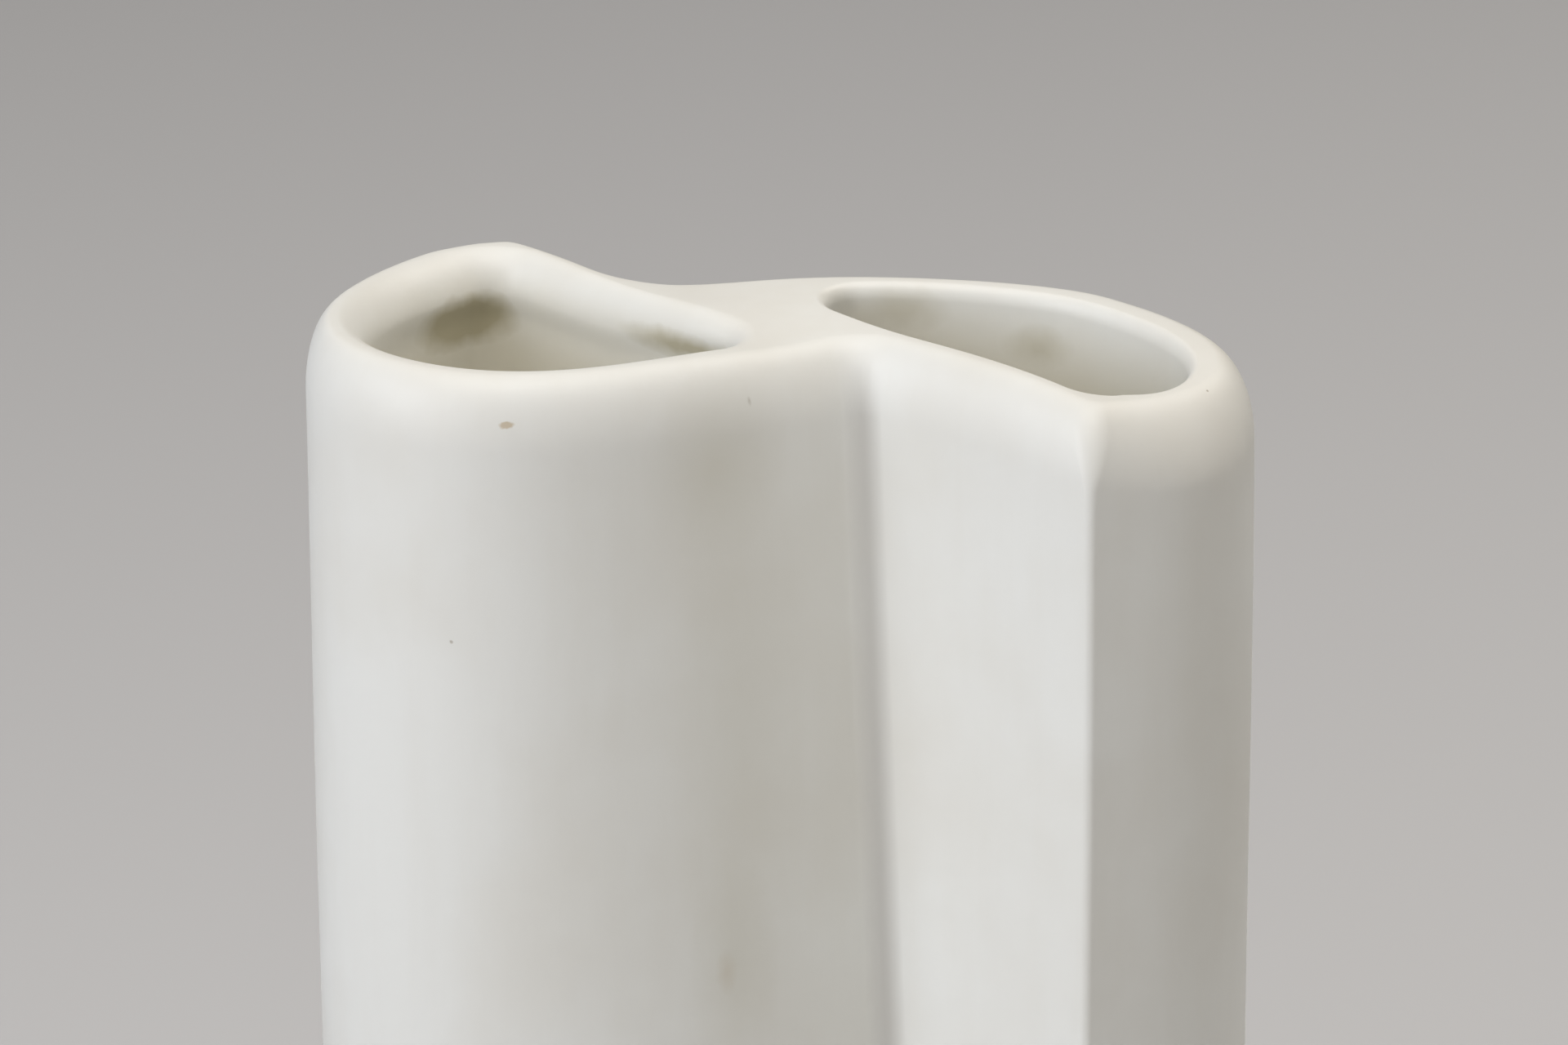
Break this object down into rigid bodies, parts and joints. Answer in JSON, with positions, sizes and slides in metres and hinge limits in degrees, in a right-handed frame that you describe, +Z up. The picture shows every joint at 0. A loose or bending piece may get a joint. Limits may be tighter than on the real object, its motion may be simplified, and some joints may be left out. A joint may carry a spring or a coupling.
{
  "type": "twin-chamber vase",
  "caption": "Tall white stoneware vase of two half-oval tubes joined flat to flat and shifted along the joint, each with its own mouth for stems.",
  "frame": {"origin": "centre of the bounding box in plan, on the plane the vase stands on", "axes": "+Z up; the joint between the two tubes lies along Y, with the deep left tube on its -X side and towards +Y, and the long right tube on its +X side and towards -Y"},
  "size_m": [0.0827, 0.1032, 0.19],
  "materials": {
    "white_glaze": "satin opaque white glaze on stoneware",
    "fired_slip": "bare fired slip"
  },
  "bodies": {
    "root": {"left_wall": "white_glaze", "left_divider": "white_glaze", "left_base": "white_glaze", "right_wall": "white_glaze", "right_divider": "white_glaze", "right_base": "white_glaze", "front_crease_fillet": "white_glaze", "back_crease_fillet": "white_glaze", "divider_slip": "fired_slip"}
  },
  "joints": []
}
